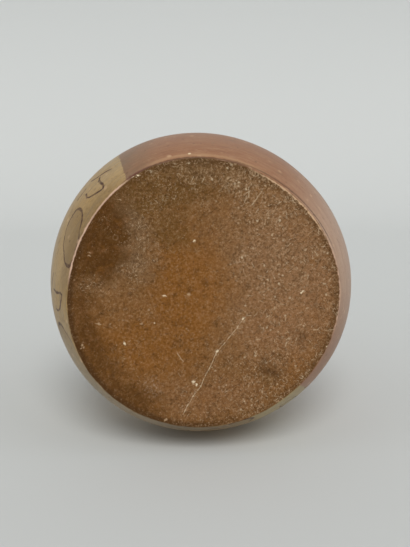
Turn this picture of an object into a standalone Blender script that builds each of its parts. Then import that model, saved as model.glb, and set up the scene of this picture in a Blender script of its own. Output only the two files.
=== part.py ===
"""A stirrup spout vessel: one hollow piece of fired clay, in metres, with +Z up.

It stands on its flat round base, whose centre is the origin. The stirrup's arch lies in the XZ plane.
The body, the stirrup and the spout are hollow, and they open into each other.
"""

import math

import bmesh
import bpy
from mathutils import Vector

# Body, a sphere cut off by its base
BODY_RADIUS = 0.075
BELLY_HEIGHT = 0.0415
BODY_WALL = 0.005
FLOOR_THICKNESS = 0.007
BASE_EDGE_ROUND = 0.0012
CHAMBER_EDGE_ROUND = 0.004

# Stirrup, a round arch on two legs that lean inwards
ARCH_RADIUS = 0.041
FINGER_GAP = 0.05
LEG_LEAN = math.radians(24)
TUBE_RADIUS = 0.0105
TUBE_WALL = 0.004
FOOT_FLARE = 0.0035
FOOT_FLARE_LENGTH = 0.016

# Spout
SPOUT_HEIGHT = 0.048
SPOUT_NECK_RADIUS = 0.0098
SPOUT_MOUTH_RADIUS = 0.0108
SPOUT_BORE_RADIUS = 0.0068
LIP_HEIGHT = 0.005
RIM_ROUND = 0.0014

# The spout's foot is this much slimmer than the tube that it stands on
FOOT_INSET = 0.0002

# How far a cutter runs past the face that it cuts
CUT_PAST = 0.004

# Unevenness of the hand-built wall: crests around it, share of the radius, azimuth of one crest
BASE_WAVES = (
    (2, 0.0045, math.radians(-15)),
    (3, 0.0125, math.radians(51)),
    (4, 0.005, math.radians(25)),
)
BELLY_WAVES = (
    (2, 0.007, math.radians(64)),
    (3, 0.005, math.radians(45)),
)
BASE_WAVES_FADE = 0.6

# Steps of the round shapes
BODY_STEPS = 72
SPOUT_STEPS = 24
BODY_ARC_POINTS = 22
CHAMBER_STEPS = 48
CHAMBER_ARC_POINTS = 13
NECK_POINTS = 6
ROUND_POINTS = 3
ARCH_POINTS = 21
LEG_POINTS = 7
TUBE_BEVEL_RESOLUTION = 5
BORE_BEVEL_RESOLUTION = 3

# Sizes that follow from those above
BODY_TOP = BELLY_HEIGHT + BODY_RADIUS
CROWN_HEIGHT = BODY_TOP + FINGER_GAP + TUBE_RADIUS
ARCH_CENTRE_HEIGHT = CROWN_HEIGHT - ARCH_RADIUS
SPOUT_BASE_HEIGHT = CROWN_HEIGHT + TUBE_RADIUS
RIM_HEIGHT = SPOUT_BASE_HEIGHT + SPOUT_HEIGHT

CLAY_COLOUR = (0.31, 0.19, 0.11, 1.0)
CLAY_ROUGHNESS = 0.6


def clear_scene():
    for item in list(bpy.data.objects):
        bpy.data.objects.remove(item, do_unlink=True)


def new_collection(name):
    collection = bpy.data.collections.new(name)
    bpy.context.scene.collection.children.link(collection)
    return collection


def clay_material():
    material = bpy.data.materials.new("painted_clay")
    material.use_nodes = True
    shader = material.node_tree.nodes["Principled BSDF"]
    shader.inputs["Base Color"].default_value = CLAY_COLOUR
    shader.inputs["Roughness"].default_value = CLAY_ROUGHNESS
    shader.inputs["Metallic"].default_value = 0.0
    return material


def arc(centre, radius, start, end, count):
    """Points (distance from the axis, height) along an arc, with both of its ends."""
    angles = [start + (end - start) * i / (count - 1) for i in range(count)]
    return [
        (centre[0] + radius * math.cos(angle), centre[1] + radius * math.sin(angle))
        for angle in angles
    ]


def bowl_profile(radius, centre_height, floor_height, edge_round, side_points):
    """The half section of a sphere cut off at a floor, with its edge rounded, from the top down."""
    above_floor = centre_height - floor_height
    round_height = above_floor - edge_round
    round_reach = math.sqrt((radius - edge_round) ** 2 - round_height ** 2)
    edge_angle = -math.asin(round_height / (radius - edge_round))
    side = arc((0.0, centre_height), radius, math.pi / 2, edge_angle, side_points)
    edge = arc(
        (round_reach, floor_height + edge_round), edge_round, edge_angle, -math.pi / 2, ROUND_POINTS
    )
    side[0] = (0.0, centre_height + radius)
    return side + edge[1:] + [(0.0, floor_height)]


def turned(name, profile, steps, collection):
    """A solid of revolution about Z, from a half section that starts and ends on the axis."""
    mesh = bpy.data.meshes.new(name)
    points = [(distance, 0.0, height) for distance, height in profile]
    mesh.from_pydata(points, [(i, i + 1) for i in range(len(points) - 1)], [])
    item = bpy.data.objects.new(name, mesh)
    collection.objects.link(item)
    screw = item.modifiers.new("turn", "SCREW")
    screw.axis = "Z"
    screw.steps = steps
    screw.render_steps = steps
    screw.use_merge_vertices = True
    screw.merge_threshold = 0.00001
    return item


def made_mesh(item, collection, shape=None):
    """The same object as a plain mesh, its loose caps welded and its points moved by shape."""
    graph = bpy.context.evaluated_depsgraph_get()
    mesh = bpy.data.meshes.new_from_object(item.evaluated_get(graph))
    faces = bmesh.new()
    faces.from_mesh(mesh)
    bmesh.ops.remove_doubles(faces, verts=faces.verts, dist=0.00001)
    if shape:
        for vertex in faces.verts:
            vertex.co = shape(vertex.co)
    bmesh.ops.recalc_face_normals(faces, faces=faces.faces)
    faces.to_mesh(mesh)
    faces.free()
    name = item.name
    matrix = item.matrix_world.copy()
    bpy.data.objects.remove(item, do_unlink=True)
    plain = bpy.data.objects.new(name, mesh)
    plain.matrix_world = matrix
    collection.objects.link(plain)
    return plain


def smooth(share):
    share = min(max(share, 0.0), 1.0)
    return share * share * (3.0 - 2.0 * share)


def wave_sum(waves, azimuth):
    return sum(size * math.cos(count * (azimuth - crest)) for count, size, crest in waves)


def hand_built(point):
    """Moves a point of the wall in or out. The base's waves fade into the belly's, and those to the top."""
    azimuth = math.atan2(point.y, point.x)
    belly_share = smooth(point.z / (BASE_WAVES_FADE * BELLY_HEIGHT))
    top_share = smooth((point.z - BELLY_HEIGHT) / BODY_RADIUS)
    base_part = wave_sum(BASE_WAVES, azimuth) * (1.0 - belly_share)
    belly_part = wave_sum(BELLY_WAVES, azimuth) * belly_share * (1.0 - top_share)
    growth = 1.0 + base_part + belly_part
    return Vector((point.x * growth, point.y * growth, point.z))


def leg_end(reach):
    """Where a leg's centreline meets a sphere of this radius about the body's centre, at +X."""
    start = Vector(
        (
            ARCH_RADIUS * math.cos(LEG_LEAN),
            ARCH_CENTRE_HEIGHT - ARCH_RADIUS * math.sin(LEG_LEAN) - BELLY_HEIGHT,
        )
    )
    along = Vector((-math.sin(LEG_LEAN), -math.cos(LEG_LEAN)))
    ahead = along.dot(start)
    length = -ahead - math.sqrt(ahead ** 2 - start.length_squared + reach ** 2)
    end = start + along * length
    return end.x, end.y + BELLY_HEIGHT


def stirrup_path(reach):
    """The stirrup's centreline in the XZ plane, from inside the body at +X over the crown to -X."""
    arch = arc(
        (0.0, ARCH_CENTRE_HEIGHT), ARCH_RADIUS, -LEG_LEAN, math.pi + LEG_LEAN, ARCH_POINTS
    )
    foot = leg_end(reach)
    top = arch[0]
    leg = [
        (
            foot[0] + (top[0] - foot[0]) * i / LEG_POINTS,
            foot[1] + (top[1] - foot[1]) * i / LEG_POINTS,
        )
        for i in range(LEG_POINTS)
    ]
    other_leg = [(-x, z) for x, z in reversed(leg)]
    return leg + arch + other_leg


def foot_growth(x, z):
    """How much wider the tube gets, as a share, towards the body where the joint is smeared over."""
    above_body = math.hypot(x, z - BELLY_HEIGHT) - BODY_RADIUS
    nearness = 1.0 - above_body / FOOT_FLARE_LENGTH
    return FOOT_FLARE / TUBE_RADIUS * min(max(nearness, 0.0), 1.0) ** 2


def tube(name, path, radius, bevel_resolution, flared, collection):
    curve = bpy.data.curves.new(name, "CURVE")
    curve.dimensions = "3D"
    curve.bevel_depth = radius
    curve.bevel_resolution = bevel_resolution
    curve.use_fill_caps = True
    spline = curve.splines.new("POLY")
    spline.points.add(len(path) - 1)
    for point, (x, z) in zip(spline.points, path):
        point.co = (x, 0.0, z, 1.0)
        point.radius = 1.0 + foot_growth(x, z) if flared else 1.0
    item = bpy.data.objects.new(name, curve)
    collection.objects.link(item)
    return made_mesh(item, collection)


def spout_profile():
    """The spout's outer half section, from its round rim down to its foot in the stirrup."""
    rim_centre = (SPOUT_MOUTH_RADIUS - RIM_ROUND, RIM_HEIGHT - RIM_ROUND)
    rim = arc(rim_centre, RIM_ROUND, math.pi / 2, 0.0, ROUND_POINTS)
    foot_radius = TUBE_RADIUS - FOOT_INSET
    neck_top = RIM_HEIGHT - RIM_ROUND - LIP_HEIGHT
    neck = []
    for i in range(NECK_POINTS):
        share = i / (NECK_POINTS - 1)
        spread = (foot_radius - SPOUT_NECK_RADIUS) * share ** 2
        neck.append((SPOUT_NECK_RADIUS + spread, neck_top + (SPOUT_BASE_HEIGHT - neck_top) * share))
    foot = [(foot_radius, CROWN_HEIGHT), (0.0, CROWN_HEIGHT)]
    return [(0.0, RIM_HEIGHT)] + rim + neck + foot


def spout_bore_profile():
    """The half section of the spout's bore, which opens out at the rim and ends inside the crown."""
    rim_centre = (SPOUT_BORE_RADIUS + RIM_ROUND, RIM_HEIGHT - RIM_ROUND)
    mouth = arc(rim_centre, RIM_ROUND, 2 * math.pi / 3, math.pi, ROUND_POINTS)
    past = (SPOUT_BORE_RADIUS + RIM_ROUND, RIM_HEIGHT + CUT_PAST)
    return [(0.0, past[1]), past] + mouth + [(SPOUT_BORE_RADIUS, CROWN_HEIGHT), (0.0, CROWN_HEIGHT)]


def boolean(item, operation, other):
    modifier = item.modifiers.new(operation.lower() + "_" + other.name, "BOOLEAN")
    modifier.operation = operation
    modifier.solver = "EXACT"
    modifier.object = other
    other.hide_render = True
    other.display_type = "WIRE"


def make_vessel():
    parts = new_collection("stirrup_spout_vessel")
    cutters = new_collection("joined_and_cut")
    outer = bowl_profile(BODY_RADIUS, BELLY_HEIGHT, 0.0, BASE_EDGE_ROUND, BODY_ARC_POINTS)
    inner_radius = BODY_RADIUS - BODY_WALL
    inner = bowl_profile(
        inner_radius, BELLY_HEIGHT, FLOOR_THICKNESS, CHAMBER_EDGE_ROUND, CHAMBER_ARC_POINTS
    )
    vessel = made_mesh(turned("vessel", outer, BODY_STEPS, parts), parts, hand_built)
    chamber = made_mesh(turned("chamber", inner, CHAMBER_STEPS, cutters), cutters, hand_built)
    path = stirrup_path(inner_radius - CUT_PAST)
    stirrup = tube("stirrup", path, TUBE_RADIUS, TUBE_BEVEL_RESOLUTION, True, cutters)
    stirrup_bore = tube(
        "stirrup_bore", path, TUBE_RADIUS - TUBE_WALL, BORE_BEVEL_RESOLUTION, False, cutters
    )
    spout = made_mesh(turned("spout", spout_profile(), SPOUT_STEPS, cutters), cutters)
    spout_bore = made_mesh(
        turned("spout_bore", spout_bore_profile(), SPOUT_STEPS, cutters), cutters
    )
    boolean(vessel, "UNION", stirrup)
    boolean(vessel, "UNION", spout)
    boolean(vessel, "DIFFERENCE", chamber)
    boolean(vessel, "DIFFERENCE", stirrup_bore)
    boolean(vessel, "DIFFERENCE", spout_bore)
    vessel.data.materials.append(clay_material())
    vessel.data.shade_smooth()
    vessel.data.set_sharp_from_angle(angle=math.radians(35))
    return vessel


clear_scene()
make_vessel()
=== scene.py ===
"""A stirrup spout vessel that lies on its side on a pale studio ground, seen from its flat base."""

import math

import bmesh
import bpy
from mathutils import Matrix, Vector, noise


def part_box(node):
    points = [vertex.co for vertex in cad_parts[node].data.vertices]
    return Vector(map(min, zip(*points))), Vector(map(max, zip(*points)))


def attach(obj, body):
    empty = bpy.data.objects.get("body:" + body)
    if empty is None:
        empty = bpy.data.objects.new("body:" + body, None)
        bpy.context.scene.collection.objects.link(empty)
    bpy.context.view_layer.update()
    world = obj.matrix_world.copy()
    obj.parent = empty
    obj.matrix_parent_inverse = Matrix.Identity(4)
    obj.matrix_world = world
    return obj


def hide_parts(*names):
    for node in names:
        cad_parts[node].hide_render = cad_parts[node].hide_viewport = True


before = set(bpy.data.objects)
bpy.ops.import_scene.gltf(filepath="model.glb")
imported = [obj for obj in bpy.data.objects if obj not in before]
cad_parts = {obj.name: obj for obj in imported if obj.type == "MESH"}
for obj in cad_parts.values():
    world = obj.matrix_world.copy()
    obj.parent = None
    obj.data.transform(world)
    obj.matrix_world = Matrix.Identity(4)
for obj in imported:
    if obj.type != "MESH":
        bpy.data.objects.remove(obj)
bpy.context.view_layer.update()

MM = 0.001

# Body, a sphere cut off by its base, in metres as on the solid
BODY_RADIUS = 0.075
BELLY_HEIGHT = 0.0415
BODY_WALL = 0.005
FLOOR_THICKNESS = 0.007
BASE_EDGE_ROUND = 0.0012
CHAMBER_EDGE_ROUND = 0.004

# Stirrup and spout
ARCH_RADIUS = 0.041
FINGER_GAP = 0.05
LEG_LEAN = math.radians(24)
TUBE_RADIUS = 0.0105
TUBE_WALL = 0.004
FOOT_FLARE = 0.0035
FOOT_FLARE_LENGTH = 0.016
SPOUT_NECK_RADIUS = 0.0098
SPOUT_MOUTH_RADIUS = 0.0108
SPOUT_BORE_RADIUS = 0.0068
LIP_HEIGHT = 0.005
RIM_ROUND = 0.0014
FOOT_INSET = 0.0002
CUT_PAST = 0.004

BODY_TOP = BELLY_HEIGHT + BODY_RADIUS
BASE_EDGE_REACH = math.sqrt((BODY_RADIUS - BASE_EDGE_ROUND) ** 2 - (BELLY_HEIGHT - BASE_EDGE_ROUND) ** 2)
CROWN_HEIGHT = BODY_TOP + FINGER_GAP + TUBE_RADIUS
ARCH_CENTRE_HEIGHT = CROWN_HEIGHT - ARCH_RADIUS
SPOUT_BASE_HEIGHT = CROWN_HEIGHT + TUBE_RADIUS
RIM_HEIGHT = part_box("vessel")[1][2]

# Unevenness of the wall: crests around it, share of the radius, azimuth of one crest
BASE_WAVES = (
    (2, 0.0045, math.radians(-15)),
    (3, 0.0125, math.radians(51)),
    (4, 0.005, math.radians(25)),
)
BELLY_WAVES = (
    (2, 0.007, math.radians(64)),
    (3, 0.005, math.radians(45)),
)
BASE_WAVES_FADE = 0.6

# Fineness of the visible mesh
BODY_STEPS = 288
BASE_RINGS = 26
EDGE_RINGS = 8
SIDE_RINGS = 88
TUBE_SIDES = 56
TUBE_PITCH = 0.0016
SPOUT_STEPS = 64
SPOUT_PITCH = 0.0016
INNER_STEPS = 96
INNER_RINGS = 36
BORE_SIDES = 28

# How the photograph sees the base: its right and its up, in the frame of the vessel
PICTURE_TURN = math.radians(39.5)
RIGHT = Vector((math.cos(PICTURE_TURN), math.sin(PICTURE_TURN), 0.0))
UP = Vector((math.sin(PICTURE_TURN), -math.cos(PICTURE_TURN), 0.0))
OUT = Vector((0.0, 0.0, -1.0))


# Fine mesh

def smooth(share):
    share = min(max(share, 0.0), 1.0)
    return share * share * (3.0 - 2.0 * share)


def wave_sum(waves, azimuth):
    return sum(size * math.cos(count * (azimuth - crest)) for count, size, crest in waves)


def hand_built(point):
    """Moves a point of the wall in or out as on the solid."""
    azimuth = math.atan2(point.y, point.x)
    belly_share = smooth(point.z / (BASE_WAVES_FADE * BELLY_HEIGHT))
    top_share = smooth((point.z - BELLY_HEIGHT) / BODY_RADIUS)
    base_part = wave_sum(BASE_WAVES, azimuth) * (1.0 - belly_share)
    belly_part = wave_sum(BELLY_WAVES, azimuth) * belly_share * (1.0 - top_share)
    growth = 1.0 + base_part + belly_part
    return Vector((point.x * growth, point.y * growth, point.z))


def on_way(start, end, share):
    """The flat point that lies this share of the way from one to the other."""
    return (start[0] + (end[0] - start[0]) * share, start[1] + (end[1] - start[1]) * share)


def arc(centre, radius, start, end, count):
    """Points (distance from the axis, height) along an arc, with both of its ends."""
    x, z = centre
    angles = [start + (end - start) * i / (count - 1) for i in range(count)]
    return [(x + radius * math.cos(angle), z + radius * math.sin(angle)) for angle in angles]


def bowl_profile(radius, floor_height, edge_round, side_rings, edge_rings, floor_rings):
    """The half section of a sphere cut off at a floor, with its edge rounded, from the top down."""
    round_height = BELLY_HEIGHT - floor_height - edge_round
    round_reach = math.sqrt((radius - edge_round) ** 2 - round_height ** 2)
    edge_angle = -math.asin(round_height / (radius - edge_round))
    side = arc((0.0, BELLY_HEIGHT), radius, math.pi / 2, edge_angle, side_rings)
    edge_centre = (round_reach, floor_height + edge_round)
    edge = arc(edge_centre, edge_round, edge_angle, -math.pi / 2, edge_rings)
    floor = [(round_reach * (1.0 - i / floor_rings), floor_height) for i in range(1, floor_rings)]
    return [(0.0, BELLY_HEIGHT + radius)] + side[1:] + edge[1:] + floor + [(0.0, floor_height)]


def linked(name, data):
    item = bpy.data.objects.new(name, data)
    bpy.context.scene.collection.objects.link(item)
    return item


def turned(name, profile, steps):
    """A closed solid of revolution about Z, from a half section that starts and ends on the axis."""
    mesh = bpy.data.meshes.new(name)
    points = [(distance, 0.0, height) for distance, height in profile]
    mesh.from_pydata(points, [(i, i + 1) for i in range(len(points) - 1)], [])
    item = linked(name, mesh)
    screw = item.modifiers.new("turn", "SCREW")
    screw.axis = "Z"
    screw.steps = steps
    screw.render_steps = steps
    screw.use_merge_vertices = True
    screw.merge_threshold = 0.000001
    return plain_mesh(item)


def plain_mesh(item):
    """The same object with its modifiers applied, or its curve made a mesh, and loose caps welded."""
    graph = bpy.context.evaluated_depsgraph_get()
    mesh = bpy.data.meshes.new_from_object(item.evaluated_get(graph))
    faces = bmesh.new()
    faces.from_mesh(mesh)
    bmesh.ops.remove_doubles(faces, verts=faces.verts, dist=0.000002)
    bmesh.ops.recalc_face_normals(faces, faces=faces.faces)
    faces.to_mesh(mesh)
    faces.free()
    name = item.name
    bpy.data.objects.remove(item, do_unlink=True)
    return linked(name, mesh)


def move_points(item, rule):
    for vertex in item.data.vertices:
        vertex.co = rule(vertex.co)


def leg_end(reach):
    """Where a leg's centreline meets a sphere of this radius about the body's centre, at +X."""
    height = ARCH_CENTRE_HEIGHT - ARCH_RADIUS * math.sin(LEG_LEAN) - BELLY_HEIGHT
    start = Vector((ARCH_RADIUS * math.cos(LEG_LEAN), height))
    along = Vector((-math.sin(LEG_LEAN), -math.cos(LEG_LEAN)))
    ahead = along.dot(start)
    length = -ahead - math.sqrt(ahead ** 2 - start.length_squared + reach ** 2)
    end = start + along * length
    return end.x, end.y + BELLY_HEIGHT


def stirrup_path(reach, pitch):
    """The stirrup's centreline in the XZ plane, from inside the body at +X over the crown to -X."""
    sweep = math.pi + 2.0 * LEG_LEAN
    arch_points = int(ARCH_RADIUS * sweep / pitch)
    centre = (0.0, ARCH_CENTRE_HEIGHT)
    arch = arc(centre, ARCH_RADIUS, -LEG_LEAN, math.pi + LEG_LEAN, arch_points)
    foot = leg_end(reach)
    top = arch[0]
    leg_points = max(2, int(math.dist(foot, top) / pitch))
    leg = [on_way(foot, top, i / leg_points) for i in range(leg_points)]
    other_leg = [(-x, z) for x, z in reversed(leg)]
    return leg + arch + other_leg


def foot_growth(x, z):
    """How much wider the tube gets, as a share, towards the body where the joint is smeared over."""
    above_body = math.hypot(x, z - BELLY_HEIGHT) - BODY_RADIUS
    nearness = 1.0 - above_body / FOOT_FLARE_LENGTH
    return FOOT_FLARE / TUBE_RADIUS * min(max(nearness, 0.0), 1.0) ** 2


def tube(name, path, radius, sides, flared):
    curve = bpy.data.curves.new(name, "CURVE")
    curve.dimensions = "3D"
    curve.bevel_depth = radius
    curve.bevel_resolution = (sides - 4) // 2
    curve.use_fill_caps = True
    spline = curve.splines.new("POLY")
    spline.points.add(len(path) - 1)
    for point, (x, z) in zip(spline.points, path):
        point.co = (x, 0.0, z, 1.0)
        point.radius = 1.0 + foot_growth(x, z) if flared else 1.0
    return plain_mesh(linked(name, curve))


def spaced(profile, pitch):
    """The same profile with points added, so that none are further apart than the pitch."""
    points = [profile[0]]
    for start, end in zip(profile, profile[1:]):
        count = max(1, math.ceil(math.dist(start, end) / pitch))
        points += [on_way(start, end, i / count) for i in range(1, count + 1)]
    return points


def neck_radius(height):
    """The spout's outer radius at a height: as wide as the tube at its foot, and turned out at the lip."""
    foot_radius = TUBE_RADIUS - FOOT_INSET
    neck_top = RIM_HEIGHT - RIM_ROUND - LIP_HEIGHT
    down = min(max((neck_top - height) / (neck_top - SPOUT_BASE_HEIGHT), 0.0), 1.0)
    out = min(max((height - neck_top) / LIP_HEIGHT, 0.0), 1.0)
    spread = (foot_radius - SPOUT_NECK_RADIUS) * down ** 2
    lip = (SPOUT_MOUTH_RADIUS - SPOUT_NECK_RADIUS) * out ** 1.5
    return SPOUT_NECK_RADIUS + spread + lip


def spout_profile():
    rim_centre = (SPOUT_MOUTH_RADIUS - RIM_ROUND, RIM_HEIGHT - RIM_ROUND)
    rim = arc(rim_centre, RIM_ROUND, math.pi / 2, 0.0, 9)
    side_top = RIM_HEIGHT - RIM_ROUND
    count = math.ceil((side_top - CROWN_HEIGHT) / SPOUT_PITCH)
    heights = [side_top + (CROWN_HEIGHT - side_top) * i / count for i in range(1, count + 1)]
    side = [(neck_radius(height), height) for height in heights]
    return [(0.0, RIM_HEIGHT)] + rim + side + [(0.0, CROWN_HEIGHT)]


def spout_bore_profile():
    rim_centre = (SPOUT_BORE_RADIUS + RIM_ROUND, RIM_HEIGHT - RIM_ROUND)
    mouth = arc(rim_centre, RIM_ROUND, 0.58 * math.pi, math.pi, 8)
    past = (SPOUT_BORE_RADIUS + RIM_ROUND, RIM_HEIGHT + CUT_PAST)
    return [(0.0, past[1]), past] + mouth + [(SPOUT_BORE_RADIUS, CROWN_HEIGHT), (0.0, CROWN_HEIGHT)]


def combine(item, operation, other):
    """Applies an exact Boolean with another object, which it removes."""
    modifier = item.modifiers.new(operation.lower(), "BOOLEAN")
    modifier.operation = operation
    modifier.solver = "EXACT"
    modifier.object = other
    plain = plain_mesh(item)
    bpy.data.objects.remove(other, do_unlink=True)
    return plain


# The smeared joints. Each depth is how far a point is from a form's surface, negative inside.
JOINT_FILLET = 0.007
JOINT_BAND = 0.011
JOINT_ROUNDS = 14
JOINTS_ABOVE = 0.09
SLOPE_STEP = 0.00002
LEAST_SLOPE_SQUARED = 0.2
AXES = (Vector((1, 0, 0)), Vector((0, 1, 0)), Vector((0, 0, 1)))


def body_depth(point):
    return math.dist(point, (0.0, 0.0, BELLY_HEIGHT)) - BODY_RADIUS


def tube_depth(point):
    x, z = abs(point[0]), point[2] - ARCH_CENTRE_HEIGHT
    angle = math.atan2(z, x)
    if angle > -LEG_LEAN:
        reach = math.hypot(x, z)
        near = (ARCH_RADIUS * x / reach, ARCH_RADIUS * z / reach)
    else:
        start = (ARCH_RADIUS * math.cos(LEG_LEAN), -ARCH_RADIUS * math.sin(LEG_LEAN))
        along = max(0.0, -(x - start[0]) * math.sin(LEG_LEAN) - (z - start[1]) * math.cos(LEG_LEAN))
        near = (start[0] - along * math.sin(LEG_LEAN), start[1] - along * math.cos(LEG_LEAN))
    growth = foot_growth(near[0], near[1] + ARCH_CENTRE_HEIGHT)
    return math.sqrt((x - near[0]) ** 2 + point[1] ** 2 + (z - near[1]) ** 2) - TUBE_RADIUS * (1.0 + growth)


def spout_depth(point):
    if point[2] < CROWN_HEIGHT:
        return math.hypot(point[0], point[1], point[2] - CROWN_HEIGHT) - TUBE_RADIUS
    return math.hypot(point[0], point[1]) - neck_radius(point[2])


def depths_of(point):
    return sorted((body_depth(point), tube_depth(point), spout_depth(point)))


def joined_depth(point):
    """The depth of body, tube and spout as one form, with a fillet where they meet."""
    depths = depths_of(point)
    overlap = max(JOINT_FILLET - (depths[1] - depths[0]), 0.0) / JOINT_FILLET
    return depths[0] - overlap * overlap * JOINT_FILLET / 4.0


def smear_joints(item):
    """Draws the mesh around each joint into a rounded fillet, as wet clay is smeared over a seam."""
    faces = bmesh.new()
    faces.from_mesh(item.data)
    bmesh.ops.triangulate(faces, faces=[face for face in faces.faces if len(face.verts) > 4])
    band = []
    for vertex in faces.verts:
        if vertex.co.z > JOINTS_ABOVE and depths_of(vertex.co)[1] < JOINT_BAND:
            band.append(vertex)
    for _ in range(JOINT_ROUNDS):
        moved = []
        for vertex in band:
            near = [edge.other_vert(vertex).co for edge in vertex.link_edges]
            middle = sum(near, Vector()) / len(near)
            point = vertex.co.lerp(middle, 0.5)
            depth = joined_depth(point)
            slope = Vector([(joined_depth(point + axis * SLOPE_STEP) - depth) / SLOPE_STEP for axis in AXES])
            moved.append(point - slope * (depth / max(slope.length_squared, LEAST_SLOPE_SQUARED)))
        for vertex, point in zip(band, moved):
            vertex.co = point
    faces.to_mesh(item.data)
    faces.free()


# Unevenness of the surface: how many waves to a metre, and how high they are in metres
SOFT_WAVES = (55.0, 0.00012)
GRAIN_WAVES = (210.0, 0.00003)
NIBBLES = (160.0, 0.0003)
FINE_NIBBLES = (420.0, 0.00012)
BASE_UNDULATION = (38.0, 0.00012)
BASE_UNDULATION_SHIFT = Vector((7.0, 3.0, 0.0))

# The part that wears as the base's edge does: its height and its reach past the edge
WORN_HEIGHT = 0.02
WORN_REACH = 0.012
NIBBLE_PLACE = 0.0006
NIBBLE_WIDTH = 0.0011
FLAT_RIM_WIDTH = 0.004


def wave(point, pitch_and_height):
    pitch, height = pitch_and_height
    return noise.noise(point * pitch) * height


def rough_cast(point, outward):
    """Moves a point in or out by the soft waviness and fine grain of the wall."""
    return point + outward * (wave(point, SOFT_WAVES) + wave(point, GRAIN_WAVES))


def base_edge_radius(azimuth):
    return BASE_EDGE_REACH * (1.0 + wave_sum(BASE_WAVES, azimuth))


def worn(point):
    """The finished place of a point of the outer wall."""
    azimuth = math.atan2(point.y, point.x)
    reach = math.hypot(point.x, point.y)
    from_edge = reach - base_edge_radius(azimuth)
    if point.z > WORN_HEIGHT or from_edge > WORN_REACH:
        centre = Vector((0.0, 0.0, BELLY_HEIGHT))
        return rough_cast(point, (point - centre).normalized())
    outward = Vector((point.x, point.y, 0.0)) / max(reach, 1e-9)
    nibble = wave(point, NIBBLES) + wave(point, FINE_NIBBLES)
    edge_share = math.exp(-((from_edge - NIBBLE_PLACE) / NIBBLE_WIDTH) ** 2)
    pitch, height = BASE_UNDULATION
    undulation = (noise.noise(point * pitch + BASE_UNDULATION_SHIFT) + 0.6) * height
    lift = max(0.0, undulation) * smooth(-from_edge / FLAT_RIM_WIDTH)
    return point + outward * (nibble * edge_share) + Vector((0.0, 0.0, lift))


def make_vessel_mesh():
    outer = bowl_profile(BODY_RADIUS, 0.0, BASE_EDGE_ROUND, SIDE_RINGS, EDGE_RINGS, BASE_RINGS)
    inner_radius = BODY_RADIUS - BODY_WALL
    inner = bowl_profile(inner_radius, FLOOR_THICKNESS, CHAMBER_EDGE_ROUND, INNER_RINGS, 5, 6)
    vessel = turned("vessel_surface", outer, BODY_STEPS)
    move_points(vessel, lambda point: worn(hand_built(point)))
    path = stirrup_path(inner_radius - CUT_PAST, TUBE_PITCH)
    vessel = combine(vessel, "UNION", tube("stirrup", path, TUBE_RADIUS, TUBE_SIDES, True))
    vessel = combine(vessel, "UNION", turned("spout", spout_profile(), SPOUT_STEPS))
    smear_joints(vessel)
    chamber = turned("chamber", inner, INNER_STEPS)
    move_points(chamber, hand_built)
    bore = tube("stirrup_bore", path, TUBE_RADIUS - TUBE_WALL, BORE_SIDES, False)
    spout_bore = turned("spout_bore", spaced(spout_bore_profile(), 0.004), SPOUT_STEPS)
    for cutter in (chamber, bore, spout_bore):
        vessel = combine(vessel, "DIFFERENCE", cutter)
    vessel.data.shade_smooth()
    vessel.data.set_sharp_from_angle(angle=math.radians(50))
    return vessel


# Materials

class Field:
    """One number that varies over a surface, the output of a node. It adds, scales and compares."""

    def __init__(self, tree, socket):
        self.tree = tree
        self.socket = socket

    def math(self, operation, *others):
        node = new_node(self.tree, "Math", self, *others, operation=operation)
        return Field(self.tree, node.outputs[0])

    def __add__(self, other):
        return self.math("ADD", other)

    __radd__ = __add__

    def __sub__(self, other):
        return self.math("SUBTRACT", other)

    def __rsub__(self, other):
        return (self * -1.0) + other

    def __mul__(self, other):
        return self.math("MULTIPLY", other)

    __rmul__ = __mul__

    def __truediv__(self, other):
        return self.math("DIVIDE", other)

    def __abs__(self):
        return self.math("ABSOLUTE")

    def lowest(self, other):
        return self.math("MINIMUM", other)

    def highest(self, other):
        return self.math("MAXIMUM", other)

    def wrapped(self, low, high):
        return self.math("WRAP", high, low)

    def step(self, start, end):
        """0 at start and 1 at end, with a smooth slope between them."""
        node = self.tree.nodes.new("ShaderNodeMapRange")
        node.interpolation_type = "SMOOTHSTEP"
        down = end < start
        plug(self.tree, node.inputs["Value"], self)
        node.inputs["From Min"].default_value = min(start, end)
        node.inputs["From Max"].default_value = max(start, end)
        node.inputs["To Min"].default_value = 1.0 if down else 0.0
        node.inputs["To Max"].default_value = 0.0 if down else 1.0
        return Field(self.tree, node.outputs["Result"])


def plug(tree, socket, value):
    if isinstance(value, Field):
        tree.links.new(value.socket, socket)
    elif hasattr(value, "is_output"):
        tree.links.new(value, socket)
    else:
        socket.default_value = value


def new_node(tree, kind, *values, **settings):
    """A shader node of this kind, with these settings and with these values in its first inputs."""
    node = tree.nodes.new("ShaderNode" + kind)
    for name, setting in settings.items():
        setattr(node, name, setting)
    for socket, value in zip(node.inputs, values):
        plug(tree, socket, value)
    return node


def root(square):
    return square.highest(0.0).math("SQRT")


def combined(tree, x, y, z):
    return new_node(tree, "CombineXYZ", x, y, z).outputs[0]


def separated(tree, place):
    return [Field(tree, socket) for socket in new_node(tree, "SeparateXYZ", place).outputs]


def specks_field(tree, place, size, share, seed):
    """1 in small grains scattered at random, about one every size millimetres, in this share of places."""
    shifted = vector(tree, "ADD", place, (seed * 17.3, seed * 5.1, seed * 9.7))
    node = new_node(tree, "TexVoronoi", shifted)
    node.inputs["Scale"].default_value = 1.0 / size
    distance = Field(tree, node.outputs["Distance"])
    draw = separated(tree, node.outputs["Color"])
    chosen = draw[0].step(1.0 - share - 0.04, 1.0 - share + 0.04)
    grain = distance.step(0.42, 0.18)
    return chosen * grain * (draw[1] * 0.7 + 0.3)


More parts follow.
